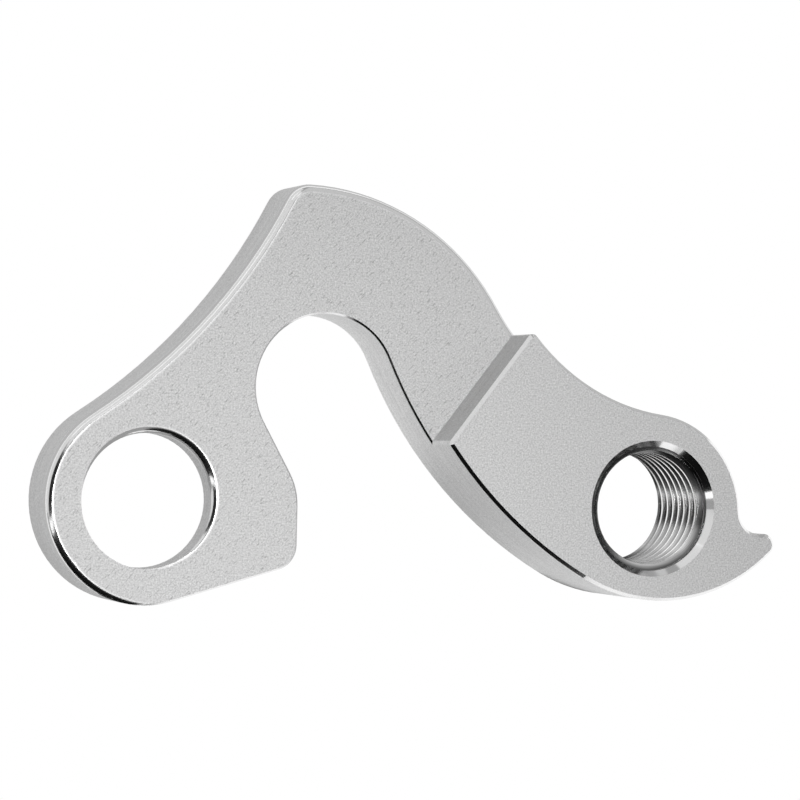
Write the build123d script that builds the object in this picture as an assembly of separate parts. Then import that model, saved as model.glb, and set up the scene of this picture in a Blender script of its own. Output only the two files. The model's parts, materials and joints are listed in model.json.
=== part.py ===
from build123d import *
import os
from math import atan2, cos, degrees, radians, sin, sqrt, tan

# Bicycle derailleur hanger, one aluminium piece lying on its flat back.
# The frame bolt's axis is at x = y = 0, the back face at z = 0, and +X runs to the derailleur thread.

# Thickness
plate_thickness = 5.2
boss_rise = 3.9  # how far the thread boss stands above the plate

# Eye for the frame bolt
bolt_hole_diameter = 10.4
eye_wall = 2.8  # metal between the bolt hole and the outside of the eye
bolt_seat_step = 1.2  # the seat in the back is wider than the hole by this, all round
bolt_seat_depth = 3.0

# Slot for the wheel axle, open at the bottom
axle_x = 14.3
axle_y = 9.05
axle_slot_diameter = 11.5

# Threaded boss for the derailleur bolt, M10 x 1, bored to the thread's outer diameter
thread_x = 41.0
thread_diameter = 10.0
front_sink_step = 0.45  # countersink's mouth beyond the thread, all round
front_sink_depth = 0.45
back_sink_step = 0.3
back_sink_depth = 0.3

# Left edge: a hollow curve from the eye up to the top corner
side_radius = 45.0
side_direction = 123.4  # from the eye's centre to where the curve leaves it
corner_radius = 2.2

# Top edge: crown over the axle slot, then a hollow neck down to the nose around the thread
crown_radius = 19.05
crown_dx = -1.65  # crown's centre from the axle's
crown_dy = -3.2
neck_radius = 17.5
nose_wall = 2.65  # metal between the countersink and the nose
nose_dx = -0.25  # nose's centre from the thread's
nose_dy = -0.5

# Stop tab for the derailleur's tension screw, at the end of the belly
belly_radius = 14.2
belly_dx = 1.0  # belly's centre from the thread's
belly_dy = 6.8
tab_radius = 0.9
tab_direction = -46.5  # from the belly's centre to the tab's tip
notch_radius = 1.9

# Arm's lower edge, and the plate's edge from the slot's throat down to the heel
arm_radius = 36.4
throat_direction = 119.6
cheek_radius = 5.3
cheek_flat = 3.0
heel_radius = 2.0
sole_direction = 16.1

# Step between plate and boss
step_distance = 17.05  # from the thread's axis
step_direction = 142.3  # from the thread to the step, square to its wall

# Rounded edges
edge_round = 0.75  # front of the plate, from the eye over the side to the crown
fine_bevel = 0.14  # front of the plate along the sole and the slot
fine_band = 1.3  # how far beside the slot the fine edge is kept
fade_direction = 215.0  # on the eye, where the wide rounding begins to fade into the fine one
fade_shift = 1.12  # how far off the eye's centre the fading stretch is turned
boss_bevel = 0.25  # front of the boss
step_corner_round = 0.45  # upright corners of the boss, at the step's ends
rim_round = 0.75  # bolt hole's front rim, rounded off centre so that it runs out on the far side
rim_mouth_diameter = 11.16
rim_shift = 0.36
rim_direction = 50.0
back_round = 0.1

boss_thickness = plate_thickness + boss_rise
bolt_hole_radius = bolt_hole_diameter / 2
eye_radius = bolt_hole_radius + eye_wall
slot_radius = axle_slot_diameter / 2
thread_radius = thread_diameter / 2
nose_radius = thread_radius + front_sink_step + nose_wall

eye = Vector(0, 0)
axle = Vector(axle_x, axle_y)
thread = Vector(thread_x, 0)


def polar(start, distance, direction):
    angle = radians(direction)
    return start + Vector(cos(angle), sin(angle)) * distance


def touch(center, radius, towards):
    # point of a circle on the way from its centre towards another point
    return center + (towards - center).normalized() * radius


def crossing(center_a, radius_a, center_b, radius_b):
    # where two circles cross, on the left of the way from a to b
    gap = (center_b - center_a).length
    way = (center_b - center_a).normalized()
    along = (radius_a**2 - radius_b**2 + gap**2) / (2 * gap)
    across = sqrt(radius_a**2 - along**2)
    return center_a + way * along + Vector(-way.Y, way.X) * across


def arc(center, start, end, clockwise=False):
    first = degrees(atan2(start.Y - center.Y, start.X - center.X))
    last = degrees(atan2(end.Y - center.Y, end.X - center.X))
    sweep = (last - first) % 360
    return CenterArc(center, (start - center).length, first, sweep - 360 if clockwise else sweep)


def hanger_outline():
    # centres of the round stretches, each of which touches the next
    side = polar(eye, eye_radius + side_radius, side_direction)
    crown = axle + Vector(crown_dx, crown_dy)
    nose = thread + Vector(nose_dx, nose_dy)
    belly = thread + Vector(belly_dx, belly_dy)
    tab = polar(belly, belly_radius - tab_radius, tab_direction)
    corner = crossing(side, side_radius + corner_radius, crown, crown_radius - corner_radius)
    neck = crossing(crown, crown_radius + neck_radius, nose, nose_radius + neck_radius)
    notch = crossing(nose, nose_radius + notch_radius, tab, tab_radius + notch_radius)
    arm = crossing(axle, slot_radius + arm_radius, belly, arm_radius - belly_radius)
    throat_top = polar(axle, slot_radius, throat_direction + 90)

    # the cheek's upright flat stands where it just fits between the heel and the throat
    throat = radians(throat_direction)
    sole = radians(sole_direction)
    heel_drop = (heel_radius * (1 - sin(sole)) - eye_radius) / cos(sole)
    cheek_lift = throat_top.Y + (cheek_radius - (cheek_radius + throat_top.X) * sin(throat)) / cos(throat)
    cheek_x = (heel_drop + cheek_flat - cheek_lift) / (tan(throat) - tan(sole))
    heel = Vector(cheek_x - heel_radius, heel_drop + cheek_x * tan(sole))
    cheek = Vector(cheek_x - cheek_radius, heel.Y + cheek_flat)

    # points where one stretch ends and the next begins
    sole_start = polar(eye, eye_radius, sole_direction - 90)
    heel_low = polar(heel, heel_radius, sole_direction - 90)
    heel_top = heel + Vector(heel_radius, 0)
    cheek_low = cheek + Vector(cheek_radius, 0)
    cheek_top = polar(cheek, cheek_radius, throat_direction - 90)
    arm_top = touch(axle, slot_radius, arm)
    arm_low = touch(arm, arm_radius, belly)
    tab_low = touch(belly, belly_radius, tab)
    tab_top = touch(tab, tab_radius, notch)
    notch_top = touch(nose, nose_radius, notch)
    neck_low = touch(nose, nose_radius, neck)
    neck_top = touch(crown, crown_radius, neck)
    corner_right = touch(crown, crown_radius, corner)
    corner_left = touch(corner, corner_radius, side)
    side_low = touch(eye, eye_radius, side)

    stretches = [
        Line(sole_start, heel_low),
        arc(heel, heel_low, heel_top),
        Line(heel_top, cheek_low),
        arc(cheek, cheek_low, cheek_top),
        Line(cheek_top, throat_top),
        arc(axle, throat_top, arm_top, clockwise=True),
        arc(arm, arm_top, arm_low),
        arc(belly, arm_low, tab_low),
        arc(tab, tab_low, tab_top),
        arc(notch, tab_top, notch_top, clockwise=True),
        arc(nose, notch_top, neck_low),
        arc(neck, neck_low, neck_top, clockwise=True),
        arc(crown, neck_top, corner_right),
        arc(corner, corner_right, corner_left),
        arc(side, corner_left, side_low, clockwise=True),
        arc(eye, side_low, sole_start),
    ]
    return make_face(stretches)


def bolt_hole():
    base = (Align.CENTER, Align.CENTER, Align.MIN)
    hole = Cylinder(bolt_hole_radius, plate_thickness, align=base)
    seat = Cylinder(bolt_hole_radius + bolt_seat_step, bolt_seat_depth, align=base)
    return hole + seat


def thread_hole():
    base = (Align.CENTER, Align.CENTER, Align.MIN)
    bore = Cylinder(thread_radius, boss_thickness, align=base)
    front = Cone(thread_radius, thread_radius + front_sink_step, front_sink_depth, align=base)
    back = Cone(thread_radius + back_sink_step, thread_radius, back_sink_depth, align=base)
    return Pos(thread_x) * (bore + Pos(Z=boss_thickness - front_sink_depth) * front + back)


def rim_mouth():
    mouth = rim_mouth_diameter / 2
    low = plate_thickness - rim_round
    profile = [
        Line((0, low), (mouth - rim_round, low)),
        CenterArc((mouth, low), rim_round, 180, -90),
        Line((mouth, plate_thickness), (0, plate_thickness)),
        Line((0, plate_thickness), (0, low)),
    ]
    center = polar(eye, rim_shift, rim_direction)
    return Pos(center) * revolve(Plane.XZ * make_face(profile), Axis.Z)


def plate(outline):
    body = extrude(outline, plate_thickness)
    return fillet(body.faces().sort_by(Axis.Z)[0].edges(), back_round)


def front_edges(body):
    return body.faces().sort_by(Axis.Z)[-1].edges()


def fine_zone():
    # the sole, the heel and the slot, and on into the boss
    sole = polar(eye, 2 * eye_radius, sole_direction - 90)
    below = Vector(thread.X, sole.Y)
    under = make_face(Polyline(eye, sole, below, thread, close=True))
    around = Pos(axle) * Circle(slot_radius + fine_band)
    return extrude(under + make_hull([*around.edges(), Line(eye, thread)]), plate_thickness)


def fade_zone():
    start = polar(eye, 2 * eye_radius, fade_direction)
    end = polar(eye, 2 * eye_radius, sole_direction - 90)
    return extrude(make_face(Polyline(eye, start, end, close=True)), plate_thickness)


def fade_disc():
    # turned off centre, so that its rounding runs out of the eye towards the sole
    center = polar(eye, fade_shift, fade_direction + 180)
    disc = Pos(center) * extrude(Circle(eye_radius + fade_shift), plate_thickness)
    return fillet(front_edges(disc), edge_round)


def whole_plate(outline):
    body = plate(outline)
    fine = chamfer(front_edges(body), fine_bevel)
    body = fillet(front_edges(body), edge_round) - fine_zone() - fade_zone()
    body += fine & fine_zone()
    body += fine & fade_disc() & fade_zone()
    return body - bolt_hole() - rim_mouth()


def bevelled_boss(outline):
    # the outline's end around the thread, cut off at the step, with its two corners there rounded
    reach = outline.bounding_box().diagonal
    step = polar(thread, step_distance, step_direction)
    beyond = Rectangle(reach, 2 * reach, align=(Align.MIN, Align.CENTER))
    end = outline - Pos(step) * Rot(Z=step_direction) * beyond
    step_edge = end.edges().filter_by(GeomType.LINE).sort_by(SortBy.LENGTH)[-1]
    end = fillet(step_edge.vertices(), step_corner_round)
    # it stands in the plate to half its depth, so that the two overlap
    root = plate_thickness / 2
    body = Pos(Z=root) * extrude(end, boss_thickness - root)
    return chamfer(front_edges(body), boss_bevel)


outline = hanger_outline()
hanger = whole_plate(outline) + bevelled_boss(outline) - thread_hole()

os.makedirs("parts", exist_ok=True)
export_step(hanger, "parts/derailleur_hanger.step")
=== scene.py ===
import json
from math import cos, pi, radians, sin

import bpy
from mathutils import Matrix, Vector


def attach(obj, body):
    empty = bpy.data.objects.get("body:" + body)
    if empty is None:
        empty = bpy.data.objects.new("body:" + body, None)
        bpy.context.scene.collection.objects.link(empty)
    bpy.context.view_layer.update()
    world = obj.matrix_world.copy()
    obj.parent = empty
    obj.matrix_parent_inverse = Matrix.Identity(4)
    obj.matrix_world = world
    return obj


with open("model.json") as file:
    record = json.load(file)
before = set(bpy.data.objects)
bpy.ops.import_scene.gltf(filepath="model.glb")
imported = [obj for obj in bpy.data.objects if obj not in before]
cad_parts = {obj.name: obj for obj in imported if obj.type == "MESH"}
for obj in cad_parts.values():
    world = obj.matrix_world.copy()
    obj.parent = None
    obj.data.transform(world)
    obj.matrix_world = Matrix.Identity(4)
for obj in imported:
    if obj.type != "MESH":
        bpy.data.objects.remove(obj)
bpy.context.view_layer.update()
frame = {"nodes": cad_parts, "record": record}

scene = bpy.context.scene
hanger = frame["nodes"]["derailleur_hanger"]

# the threaded hole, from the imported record: its axis crosses the frame's X axis
mounts = {mount["name"]: mount for mount in frame["record"]["mounts"]}
threadX = mounts["derailleur_thread"]["pos_m"][0]
threadAxis = (threadX, 0, 0)
threadRadius = mounts["derailleur_thread"]["dims"]["r_mm"] / 1000


# helpers for node trees

noiseMiddle = 0.5  # the value that a noise swings about


def addNode(tree, kind, **settings):
    node = tree.nodes.new(kind)
    for name, value in settings.items():
        setattr(node, name, value)
    return node


def feed(tree, socket, value):  # a number, a vector or another node's output
    if isinstance(value, bpy.types.NodeSocket):
        tree.links.new(value, socket)
    else:
        socket.default_value = value


def calc(tree, operation, *values):
    node = addNode(tree, "ShaderNodeMath", operation=operation)
    for socket, value in zip(node.inputs, values):
        feed(tree, socket, value)
    return node.outputs[0]


def ramp(tree, value, fromMin, fromMax, toMin, toMax):
    node = addNode(tree, "ShaderNodeMapRange")
    feed(tree, node.inputs["Value"], value)
    feed(tree, node.inputs["From Min"], fromMin)
    feed(tree, node.inputs["From Max"], fromMax)
    feed(tree, node.inputs["To Min"], toMin)
    feed(tree, node.inputs["To Max"], toMax)
    return node.outputs["Result"]


def split(tree, vector):
    node = addNode(tree, "ShaderNodeSeparateXYZ")
    feed(tree, node.inputs[0], vector)
    return node.outputs


def away(tree, place, axis):  # distance from an upright axis
    flat = addNode(tree, "ShaderNodeVectorMath", operation="MULTIPLY")
    feed(tree, flat.inputs[0], place)
    feed(tree, flat.inputs[1], (1, 1, 0))
    gap = addNode(tree, "ShaderNodeVectorMath", operation="DISTANCE")
    feed(tree, gap.inputs[0], flat.outputs["Vector"])
    feed(tree, gap.inputs[1], axis)
    return gap.outputs["Value"]


def noise(tree, place, size, detail, turn=0):  # size along X, Y and Z, turned about Z
    mapping = addNode(tree, "ShaderNodeMapping", vector_type="TEXTURE")
    feed(tree, mapping.inputs["Vector"], place)
    mapping.inputs["Rotation"].default_value = (0, 0, radians(turn))
    mapping.inputs["Scale"].default_value = size
    node = addNode(tree, "ShaderNodeTexNoise")
    feed(tree, node.inputs["Vector"], mapping.outputs["Vector"])
    node.inputs["Scale"].default_value = 1
    node.inputs["Detail"].default_value = detail
    return node.outputs["Fac"]


def gray(tree, tone):
    color = addNode(tree, "ShaderNodeCombineColor")
    for name in ("Red", "Green", "Blue"):
        feed(tree, color.inputs[name], tone)
    return color.outputs[0]


def emboss(tree, shader, height, depth, strength):
    relief = addNode(tree, "ShaderNodeBump")
    relief.inputs["Distance"].default_value = depth
    feed(tree, relief.inputs["Strength"], strength)
    feed(tree, relief.inputs["Height"], height)
    feed(tree, shader.inputs["Normal"], relief.outputs[0])


def newMaterial(name):
    material = bpy.data.materials.new(name)
    material.use_nodes = True
    return material, material.node_tree.nodes["Principled BSDF"]


# blasted aluminium, lengths in metres

metalValues = {
    "color": 0.78,
    "faceRoughness": 0.8,
    "wallRoughness": 0.7,
    "edgeRoughness": 0.14,
    "faceSlope": (0.96, 0.998),  # the normal's upward part, where an edge turns into a face
    "wallSlope": (0.05, 0.2),  # and where a wall turns into an edge
    "grainSize": 0.00013,
    "grainTone": 0.6,
    "grainDepth": 0.00001,
    "edgeGrain": 0.2,  # share of the grain that the edges have
    "fleckLength": 0.0006,
    "fleckWidth": 0.00013,
    "fleckTurn": 47,
    "fleckSpan": (0.6, 0.74),  # between these the noise turns into flecks
    "fleckTone": 0.25,
    "bossFlecks": 0.35,  # share of the flecks that the boss's face has
    "bossHeight": 0.007,  # above this it is the boss
    "streakLength": 0.006,
    "streakWidth": 0.0002,
    "streakSpan": (0.3, 0.7),  # from the darkest to the lightest streaks
    "streakTone": 0.13,
    "stepAzimuth": 142.3,  # the milled wall between plate and boss
    "stepFacing": 0.96,  # how squarely it faces that way, at least
    "stepHeight": 0.0053,  # it stands above this
    # painted shade: the step wall's colour is darkened
    "stepShadeTone": 0.76,
    "sinkRadius": 0.0056,  # the countersink around the thread
    "sinkHeight": 0.008,
    "sinkSlope": 0.9,  # its normal's upward part is below this
    "sinkRoughness": 0.1,
}


def metalZones(tree, place, normal):  # each zone is 1 on its own surfaces and 0 elsewhere
    values = metalValues
    height = split(tree, place)["Z"]
    upward = calc(tree, "ABSOLUTE", split(tree, normal)["Z"])
    zones = {
        "face": ramp(tree, upward, *values["faceSlope"], 0, 1),
        "wall": ramp(tree, upward, *values["wallSlope"], 1, 0),
        "boss": calc(tree, "GREATER_THAN", height, values["bossHeight"]),
    }
    turn = radians(values["stepAzimuth"])
    towards = addNode(tree, "ShaderNodeVectorMath", operation="DOT_PRODUCT")
    feed(tree, towards.inputs[0], normal)
    feed(tree, towards.inputs[1], (cos(turn), sin(turn), 0))
    facing = calc(tree, "GREATER_THAN", towards.outputs["Value"], values["stepFacing"])
    abovePlate = calc(tree, "GREATER_THAN", height, values["stepHeight"])
    zones["step"] = calc(tree, "MULTIPLY", facing, abovePlate)
    near = calc(tree, "LESS_THAN", away(tree, place, threadAxis), values["sinkRadius"])
    atFront = calc(tree, "GREATER_THAN", height, values["sinkHeight"])
    slanting = calc(tree, "LESS_THAN", upward, values["sinkSlope"])
    zones["sink"] = calc(tree, "MULTIPLY", calc(tree, "MULTIPLY", near, atFront), slanting)
    return zones


def metalTone(tree, place, zones, grit):
    values = metalValues
    fleckSize = (values["fleckLength"], values["fleckWidth"], 1)  # alike at every height
    flecks = noise(tree, place, fleckSize, detail=1, turn=values["fleckTurn"])
    fleck = ramp(tree, flecks, *values["fleckSpan"], 0, values["fleckTone"])
    fleck = calc(tree, "MULTIPLY", fleck, ramp(tree, zones["boss"], 0, 1, 1, values["bossFlecks"]))
    streakSize = (values["streakLength"], values["streakLength"], values["streakWidth"])
    streaks = noise(tree, place, streakSize, detail=3)
    swing = values["streakTone"] / 2
    streak = ramp(tree, streaks, *values["streakSpan"], -swing, swing)

    # grain, slanting flecks on the faces, level streaks on the walls, and painted shade that darkens
    # the step wall
    tone = calc(tree, "MULTIPLY_ADD", grit, values["grainTone"], 1)
    tone = calc(tree, "SUBTRACT", tone, calc(tree, "MULTIPLY", fleck, zones["face"]))
    tone = calc(tree, "MULTIPLY_ADD", streak, zones["wall"], tone)
    tone = calc(tree, "MULTIPLY", tone, ramp(tree, zones["step"], 0, 1, 1, values["stepShadeTone"]))
    return gray(tree, calc(tree, "MULTIPLY", tone, values["color"]))


def aluminium():
    values = metalValues
    material, shader = newMaterial("blastedAluminium")
    tree = material.node_tree
    shader.inputs["Metallic"].default_value = 1
    coordinates = addNode(tree, "ShaderNodeTexCoord").outputs
    place = coordinates["Object"]
    zones = metalZones(tree, place, coordinates["Normal"])

    # the grain is weak on the edges, and the countersink has none
    grain = noise(tree, place, [values["grainSize"]] * 3, detail=1)
    level = calc(tree, "MAXIMUM", zones["face"], zones["wall"])
    rough = calc(tree, "MULTIPLY_ADD", level, 1 - values["edgeGrain"], values["edgeGrain"])
    rough = calc(tree, "MULTIPLY", rough, calc(tree, "SUBTRACT", 1, zones["sink"]))
    grit = calc(tree, "MULTIPLY", calc(tree, "SUBTRACT", grain, noiseMiddle), rough)
    feed(tree, shader.inputs["Base Color"], metalTone(tree, place, zones, grit))
    emboss(tree, shader, grain, values["grainDepth"], rough)

    # matt on the faces, satin on the walls, bright on the edges and in the countersink
    edge = values["edgeRoughness"]
    gloss = calc(tree, "MULTIPLY_ADD", zones["face"], values["faceRoughness"] - edge, edge)
    gloss = calc(tree, "MULTIPLY_ADD", zones["wall"], values["wallRoughness"] - edge, gloss)
    gloss = calc(tree, "MULTIPLY_ADD", zones["sink"], values["sinkRoughness"] - edge, gloss)
    feed(tree, shader.inputs["Roughness"], gloss)
    return material


hanger.data.materials.clear()
hanger.data.materials.append(aluminium())
print("material on the hanger")


# aluminium as the tap leaves it, with fine lines along the ridge, and painted shade deep in the hole
# and between the turns

cutValues = {
    "color": 0.72,
    "roughness": 0.2,
    "lineLength": 0.003,
    "lineWidth": 0.00006,
    "lineTone": 0.9,
    "lineDepth": 0.000009,
    "depthShadeTone": 0.8,  # painted shade: tone at the bottom of the hole, against the top
    "height": 0.009,
    "rootShadeTone": 0.2,  # painted shade: tone between the ridge's turns, against its crest
    "rootReach": (0.00447, 0.0049),  # radius at the crest, and where that tone is reached
}


def cutAluminium():
    values = cutValues
    material, shader = newMaterial("cutAluminium")
    tree = material.node_tree
    shader.inputs["Metallic"].default_value = 1
    shader.inputs["Roughness"].default_value = values["roughness"]
    place = addNode(tree, "ShaderNodeTexCoord").outputs["Object"]
    lineSize = (values["lineLength"], values["lineLength"], values["lineWidth"])
    lines = noise(tree, place, lineSize, detail=2)
    line = calc(tree, "SUBTRACT", lines, noiseMiddle)
    tone = calc(tree, "MULTIPLY_ADD", line, values["lineTone"], 1)
    # painted shade in the grooves between the ridge's turns
    root = ramp(tree, away(tree, place, threadAxis), *values["rootReach"], 1, values["rootShadeTone"])
    tone = calc(tree, "MULTIPLY", tone, root)
    # painted shade, darker towards the bottom of the hole
    deep = values["depthShadeTone"] * values["color"]
    shading = ramp(tree, split(tree, place)["Z"], 0, values["height"], deep, values["color"])
    feed(tree, shader.inputs["Base Color"], gray(tree, calc(tree, "MULTIPLY", tone, shading)))
    emboss(tree, shader, lines, values["lineDepth"], 1)
    return material


# thread in the boss: a helical ridge on the bore's wall, in metres

threadValues = {
    "axisX": threadX,
    "wallRadius": threadRadius,
    "crestRadius": 0.00446,
    "sunk": 0.00005,  # how deep the ridge's base sits in the wall
    "pitch": 0.001,
    "crestWidth": 0.00025,
    "baseWidth": 0.000875,
    "cornerRound": 0.00004,
    "cornerSteps": 2,
    "bottom": -0.000129,  # height where the helix begins
    "startAngle": radians(-64),
    "turns": 9.03,
    "stepsPerTurn": 120,
    "frontSink": 0.00863,  # from this height up the front countersink cuts the ridge back
    "frontSlope": 1.0,
    "backSink": 0.00032,  # and from this one down the back countersink
    "backSlope": 1.0,
    "cutShare": 0.1,  # share of its height that the ridge keeps there, inside the wall
    "lowest": 0.00005,  # the ridge stays between this height
    "highest": 0.00905,  # and this one
}


def helixCurve(tree, given, radius):
    helix = addNode(tree, "GeometryNodeCurveSpiral")
    feed(tree, helix.inputs["Resolution"], given["stepsPerTurn"])
    feed(tree, helix.inputs["Rotations"], given["turns"])
    feed(tree, helix.inputs["Start Radius"], radius)
    feed(tree, helix.inputs["End Radius"], radius)
    feed(tree, helix.inputs["Height"], calc(tree, "MULTIPLY", given["turns"], given["pitch"]))
    startTurn = addNode(tree, "ShaderNodeCombineXYZ")
    feed(tree, startTurn.inputs["Z"], given["startAngle"])
    started = addNode(tree, "GeometryNodeTransform")
    feed(tree, started.inputs["Geometry"], helix.outputs["Curve"])
    feed(tree, started.inputs["Rotation"], startTurn.outputs[0])
    upright = addNode(tree, "GeometryNodeSetCurveNormal", mode="Z_UP")
    feed(tree, upright.inputs["Curve"], started.outputs["Geometry"])
    return upright.outputs["Curve"]


def ridgeSection(tree, given, height):  # its corners eased and its crest turned to the axis
    section = addNode(tree, "GeometryNodeCurvePrimitiveQuadrilateral", mode="TRAPEZOID")
    feed(tree, section.inputs["Height"], height)
    feed(tree, section.inputs["Bottom Width"], given["baseWidth"])
    feed(tree, section.inputs["Top Width"], given["crestWidth"])
    section.inputs["Offset"].default_value = 0
    eased = addNode(tree, "GeometryNodeFilletCurve", mode="POLY")
    feed(tree, eased.inputs["Curve"], section.outputs["Curve"])
    feed(tree, eased.inputs["Radius"], given["cornerRound"])
    feed(tree, eased.inputs["Count"], given["cornerSteps"])
    turned = addNode(tree, "GeometryNodeTransform")
    feed(tree, turned.inputs["Geometry"], eased.outputs["Curve"])
    turned.inputs["Rotation"].default_value = (0, 0, radians(-90))
    return turned.outputs["Geometry"]


def seatInBore(tree, given):  # where the two countersinks cut the ridge back
    place = split(tree, addNode(tree, "GeometryNodeInputPosition").outputs[0])
    x = place["X"]
    y = place["Y"]
    z = calc(tree, "ADD", place["Z"], given["bottom"])
    z = calc(tree, "MINIMUM", calc(tree, "MAXIMUM", z, given["lowest"]), given["highest"])
    radius = calc(tree, "SQRT", calc(tree, "MULTIPLY_ADD", x, x, calc(tree, "MULTIPLY", y, y)))
    depth = calc(tree, "SUBTRACT", radius, given["crestRadius"])
    keep = calc(tree, "MULTIPLY_ADD", depth, given["cutShare"], given["wallRadius"])
    pastFront = calc(tree, "SUBTRACT", z, given["frontSink"])
    pastBack = calc(tree, "SUBTRACT", given["backSink"], z)
    front = calc(tree, "MULTIPLY_ADD", pastFront, given["frontSlope"], keep)
    back = calc(tree, "MULTIPLY_ADD", pastBack, given["backSlope"], keep)
    widest = calc(tree, "MAXIMUM", radius, calc(tree, "MAXIMUM", front, back))
    cut = calc(tree, "DIVIDE", widest, radius)
    seated = addNode(tree, "ShaderNodeCombineXYZ")
    feed(tree, seated.inputs["X"], calc(tree, "MULTIPLY_ADD", x, cut, given["axisX"]))
    feed(tree, seated.inputs["Y"], calc(tree, "MULTIPLY", y, cut))
    feed(tree, seated.inputs["Z"], z)
    return seated.outputs[0]


def threadTree(material):
    tree = bpy.data.node_groups.new("threadRidge", "GeometryNodeTree")
    tree.is_modifier = True
    for name, value in threadValues.items():
        kind = "NodeSocketInt" if isinstance(value, int) else "NodeSocketFloat"
        tree.interface.new_socket(name, in_out="INPUT", socket_type=kind)
    tree.interface.new_socket("Geometry", in_out="OUTPUT", socket_type="NodeSocketGeometry")
    given = addNode(tree, "NodeGroupInput").outputs

    # a helix through the middle of the ridge carries its section
    outer = calc(tree, "ADD", given["wallRadius"], given["sunk"])
    height = calc(tree, "SUBTRACT", outer, given["crestRadius"])
    middle = calc(tree, "MULTIPLY_ADD", height, -0.5, outer)
    ridge = addNode(tree, "GeometryNodeCurveToMesh")
    ridge.inputs["Fill Caps"].default_value = True
    feed(tree, ridge.inputs["Curve"], helixCurve(tree, given, middle))
    feed(tree, ridge.inputs["Profile Curve"], ridgeSection(tree, given, height))
    moved = addNode(tree, "GeometryNodeSetPosition")
    feed(tree, moved.inputs["Geometry"], ridge.outputs["Mesh"])
    feed(tree, moved.inputs["Position"], seatInBore(tree, given))
    whole = addNode(tree, "GeometryNodeRealizeInstances")
    feed(tree, whole.inputs["Geometry"], moved.outputs["Geometry"])
    paint = addNode(tree, "GeometryNodeSetMaterial")
    paint.inputs["Material"].default_value = material
    feed(tree, paint.inputs["Geometry"], whole.outputs["Geometry"])
    feed(tree, addNode(tree, "NodeGroupOutput").inputs["Geometry"], paint.outputs["Geometry"])
    return tree


def makeThread(material):
    blank = bpy.data.objects.new("threadBlank", bpy.data.meshes.new("threadBlank"))
    scene.collection.objects.link(blank)
    tree = threadTree(material)
    modifier = blank.modifiers.new("threadRidge", "NODES")
    modifier.node_group = tree
    for socket in tree.interface.items_tree:
        if socket.in_out == "INPUT":
            modifier[socket.identifier] = threadValues[socket.name]
    graph = bpy.context.evaluated_depsgraph_get()
    mesh = bpy.data.meshes.new_from_object(blank.evaluated_get(graph))
    bpy.data.objects.remove(blank)
    mesh.shade_smooth()
    sharpAngle = radians(15)
    mesh.set_sharp_from_angle(angle=sharpAngle)
    thread = bpy.data.objects.new("derailleur_thread", mesh)
    scene.collection.objects.link(thread)
    return thread


thread = makeThread(cutAluminium())
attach(thread, "root")
print("thread ridge", len(thread.data.polygons), "faces")


# floor and light

studioValues = {
    "floorSize": 3.0,
    "floorHeight": -0.00005,
    "floorGlow": 1.0,  # the floor as the camera sees it
    "bounceHeight": -0.0001,
    "bounceGlow": 1.15,  # the floor as the metal sees it
    "shadowGlow": 0.58,  # the same close to the part, in its soft shadow
    "shadowCenter": (0.004, 0.008, 0),
    "shadowReach": (0.026, 0.044),  # which fades between these distances
    "holeCenter": (0.0432, 0, 0),
    "holeReach": (0.0012, 0.003),  # painted light and shade: the floor under the threaded hole darkens between these
    "holeLightAndShade": (1.5, 0.04),
    "holeLimit": 0.01,  # and stays dark as far as this
    "slotCenter": (0.016, 0.008, 0),
    "slotReach": (0.007, 0.012),  # painted light: it is lighter in the slot, and that fades between these
    "slotPaintedLight": 1.6,
    "roomGlow": 0.4,
    "feltTone": 0.01,
    "sheetRoughness": 0.9,
    "aim": (0.005, -0.012, 0),  # the spot that the softboxes face
    "softboxes": [  # azimuth, elevation and distance from that spot, width, height, radiance, spread
        (190, 84, 0.3, 0.05, 0.08, 1.38, 33),
        (45, 39, 0.66, 0.95, 0.85, 0.27, 180),
        (114, 45, 0.66, 0.36, 0.46, 0.45, 180),
        (293.8, 11, 0.12, 0.061, 0.028, 0.75, 180),
        (142, 18, 0.66, 1.45, 0.4, 0.44, 180),
        (201, 45, 0.66, 0.11, 0.7, 1.0, 180),
    ],
    "darkDistance": 0.7,
    "darkCards": [  # outlines of the unlit side of the room, azimuth and elevation
        [(150, 82), (141, 66), (137, 54), (141, 46), (150, 40), (165, 33), (197, 32), (197, 84)],
        [(207, 82), (207, 1), (267, 1), (272, 30), (266, 60), (255, 72)],
        [(267, 58), (271, 10), (293, 10), (293, 46), (283, 54)],
        [(270, 84), (300, 77), (330, 73), (0, 72), (30, 73), (60, 77), (90, 84)],
    ],
    "cardHeight": -0.00008,
    "floorCards": [  # patches of painted shade on the floor that the metal sees: glow, and corners on the floor
        (0, [(-0.01, -0.032), (0.0285, -0.059), (-0.125, -0.78), (-0.637, -0.424)]),
        (0.6, [(0.058, 0.016), (0.8, 0.22), (0.5, 0.85), (0.034, 0.046)]),
    ],
}


def heading(azimuth, elevation, distance):
    turn = radians(azimuth)
    rise = radians(elevation)
    return Vector((cos(turn) * cos(rise), sin(turn) * cos(rise), sin(rise))) * distance


def plainMaterial(name, tone, glow):
    material, shader = newMaterial(name)
    shader.inputs["Base Color"].default_value = (tone, tone, tone, 1)
    shader.inputs["Roughness"].default_value = studioValues["sheetRoughness"]
    shader.inputs["Specular IOR Level"].default_value = 0
    shader.inputs["Emission Color"].default_value = (1, 1, 1, 1)
    shader.inputs["Emission Strength"].default_value = glow
    return material


def sheet(name, corners, material):
    mesh = bpy.data.meshes.new(name)
    mesh.from_pydata(corners, [], [tuple(range(len(corners)))])
    mesh.materials.append(material)
    thing = bpy.data.objects.new(name, mesh)
    scene.collection.objects.link(thing)
    return thing


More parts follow.
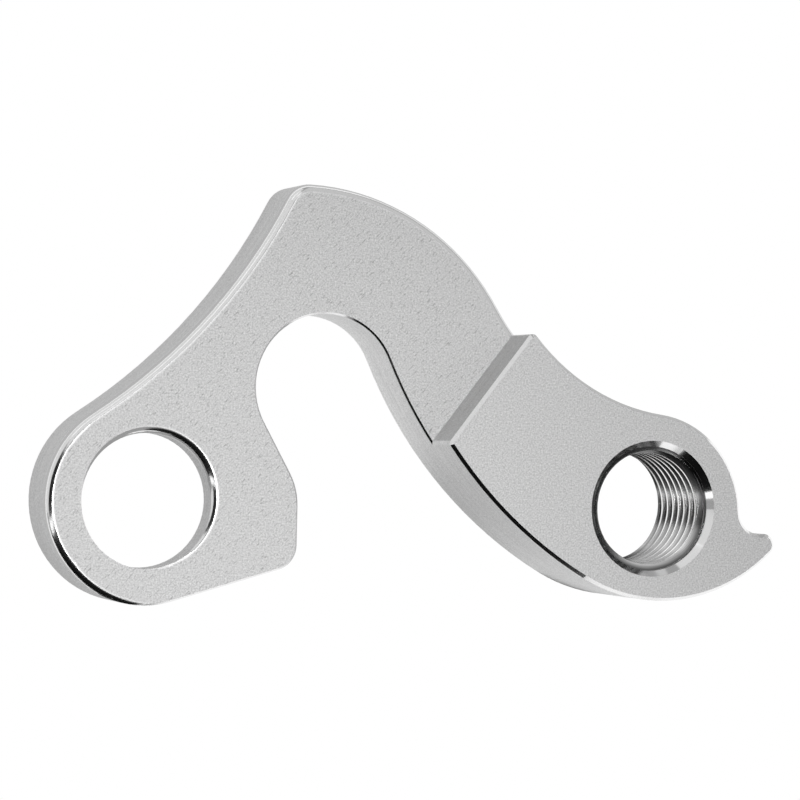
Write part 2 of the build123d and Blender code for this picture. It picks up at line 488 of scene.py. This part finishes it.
def softShadow(material):
    values = studioValues
    tree = material.node_tree
    place = addNode(tree, "ShaderNodeTexCoord").outputs["Object"]
    part = away(tree, place, values["shadowCenter"])
    hole = away(tree, place, values["holeCenter"])
    slot = away(tree, place, values["slotCenter"])
    glow = ramp(tree, part, *values["shadowReach"], values["shadowGlow"], values["bounceGlow"])
    share = ramp(tree, hole, *values["holeReach"], *values["holeLightAndShade"])
    share = calc(tree, "MAXIMUM", share, calc(tree, "GREATER_THAN", hole, values["holeLimit"]))
    inSlot = ramp(tree, slot, *values["slotReach"], values["slotPaintedLight"], 1)
    share = calc(tree, "MULTIPLY", share, inSlot)
    shader = tree.nodes["Principled BSDF"]
    feed(tree, shader.inputs["Emission Strength"], calc(tree, "MULTIPLY", glow, share))


def ground(name, height, glow):
    half = studioValues["floorSize"] / 2
    corners = [(x * half, y * half, height) for x, y in ((-1, -1), (1, -1), (1, 1), (-1, 1))]
    return sheet(name, corners, plainMaterial(name, 0, glow))


def makeFloor():  # one floor for the camera, another for the metal's reflections
    values = studioValues
    floor = ground("floor", values["floorHeight"], values["floorGlow"])
    floor.visible_glossy = False
    floor.visible_diffuse = False
    bounce = ground("bounce", values["bounceHeight"], values["bounceGlow"])
    bounce.visible_camera = False
    softShadow(bounce.data.materials[0])


def makeCards():
    values = studioValues
    felt = plainMaterial("blackFelt", values["feltTone"], 0)
    for number, outline in enumerate(values["darkCards"]):
        corners = [heading(*direction, values["darkDistance"]) for direction in outline]
        card = sheet("darkCard%d" % number, corners, felt)
        card.visible_camera = False
    for number, (glow, outline) in enumerate(values["floorCards"]):
        name = "floorCard%d" % number
        corners = [(x, y, values["cardHeight"]) for x, y in outline]
        card = sheet(name, corners, plainMaterial(name, 0, glow))
        card.visible_camera = False


def makeSoftbox(name, azimuth, elevation, distance, width, height, radiance, spread):
    lamp = bpy.data.lights.new(name, "AREA")
    lamp.shape = "RECTANGLE"
    lamp.size = width
    lamp.size_y = height
    lamp.energy = radiance * pi * width * height
    lamp.spread = radians(spread)
    softbox = bpy.data.objects.new(name, lamp)
    outward = heading(azimuth, elevation, distance)
    softbox.location = Vector(studioValues["aim"]) + outward
    softbox.rotation_euler = outward.to_track_quat("Z", "Y").to_euler()
    softbox.visible_camera = False
    scene.collection.objects.link(softbox)


def makeRoom():
    world = bpy.data.worlds.new("softRoom")
    world.use_nodes = True
    background = world.node_tree.nodes["Background"]
    background.inputs["Color"].default_value = (1, 1, 1, 1)
    background.inputs["Strength"].default_value = studioValues["roomGlow"]
    scene.world = world


makeFloor()
makeCards()
for number, softbox in enumerate(studioValues["softboxes"]):
    makeSoftbox("softbox%d" % number, *softbox)
makeRoom()
scene.view_settings.view_transform = "Standard"
print("floor and light")


# camera at the photograph's viewing angle

cameraValues = {
    "target": (0.0213709, 0.00824, 0.003),
    "distance": 0.2350377,
    "turn": (0.5736, -21.2954, 1.3019),  # degrees about X, Y and Z, from straight above
    "focal": 132.68,  # millimetres, as the sensor's width
    "sensorWidth": 36,
    "nearest": 0.01,
}


def makeCamera():
    values = cameraValues
    data = bpy.data.cameras.new("camera")
    data.lens = values["focal"]
    data.sensor_width = values["sensorWidth"]
    data.clip_start = values["nearest"]
    camera = bpy.data.objects.new("camera", data)
    camera.rotation_mode = "ZXY"
    camera.rotation_euler = [radians(angle) for angle in values["turn"]]
    outward = camera.rotation_euler.to_matrix() @ Vector((0, 0, values["distance"]))
    camera.location = Vector(values["target"]) + outward
    scene.collection.objects.link(camera)
    scene.camera = camera


makeCamera()
print("camera")
